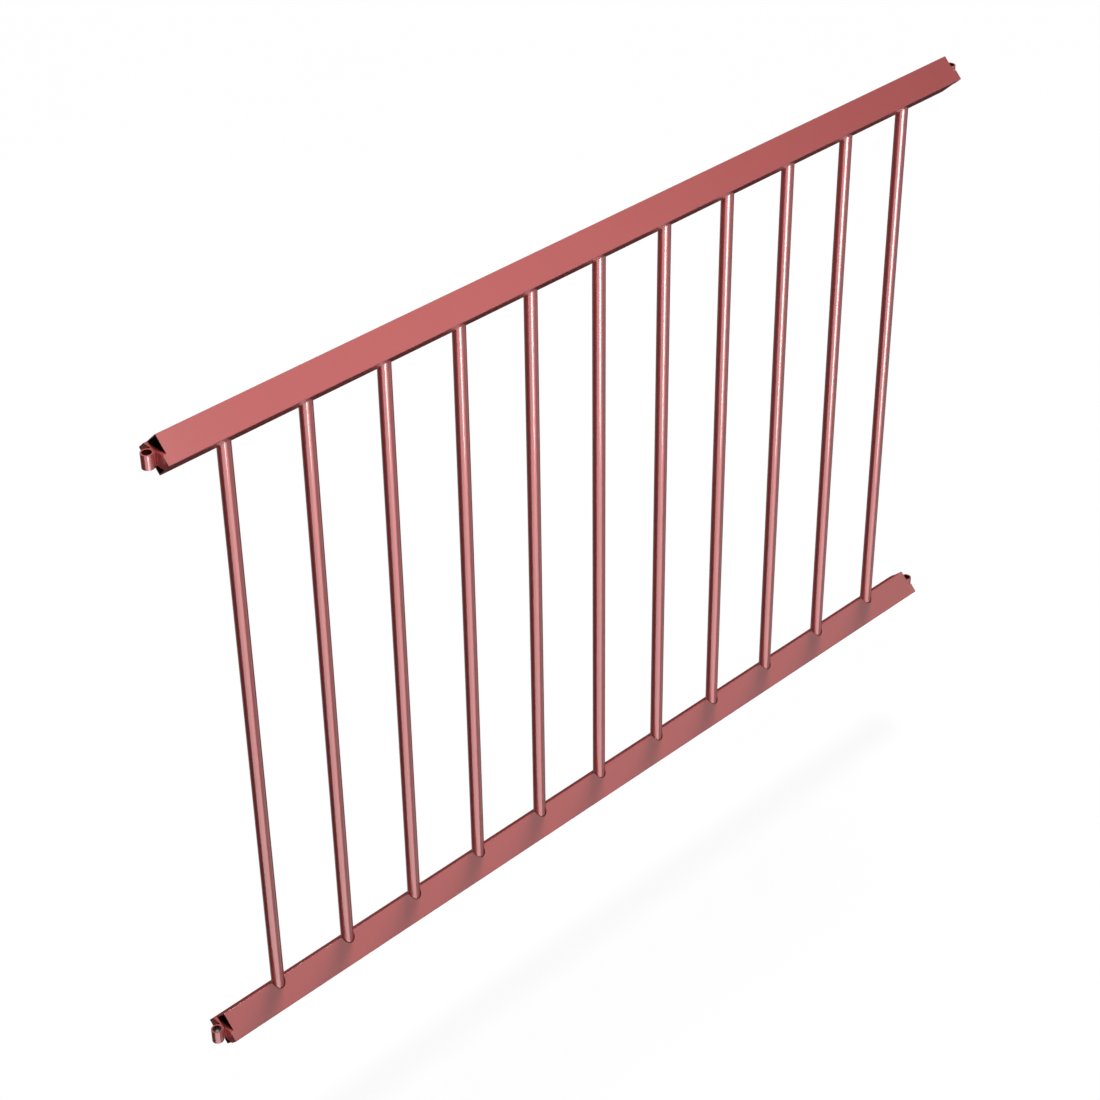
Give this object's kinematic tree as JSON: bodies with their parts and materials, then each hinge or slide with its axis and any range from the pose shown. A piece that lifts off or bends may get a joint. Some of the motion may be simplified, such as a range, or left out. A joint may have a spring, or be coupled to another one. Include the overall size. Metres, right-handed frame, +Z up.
{
  "type": "bar railing panel",
  "caption": "Painted steel railing panel: two square-tube rails set on edge, a row of upright round bars between them, and a pin eye on a welded plate at each rail end.",
  "frame": {"origin": "on the pin axis of the lower left eye, at the eye's underside", "axes": "+X along the rails towards the right end, +Y towards the back, +Z up along the bars"},
  "size_m": [1.4516, 0.0558, 0.9738],
  "materials": {
    "rail_paint": "satin powder coat, dusty red",
    "bar_paint": "satin to gloss powder coat, dusty red",
    "plate_paint": "satin powder coat, dusty red",
    "eye_paint": "satin powder coat, dusty red"
  },
  "bodies": {
    "root": {"top_rail": "rail_paint", "bottom_rail": "rail_paint", "bar_01": "bar_paint", "bar_02": "bar_paint", "bar_03": "bar_paint", "bar_04": "bar_paint", "bar_05": "bar_paint", "bar_06": "bar_paint", "bar_07": "bar_paint", "bar_08": "bar_paint", "bar_09": "bar_paint", "bar_10": "bar_paint", "bar_11": "bar_paint", "end_plate_top_left": "plate_paint", "end_plate_top_right": "plate_paint", "end_plate_bottom_left": "plate_paint", "end_plate_bottom_right": "plate_paint", "eye_top_left": "eye_paint", "eye_top_right": "eye_paint", "eye_bottom_left": "eye_paint", "eye_bottom_right": "eye_paint"}
  },
  "joints": []
}
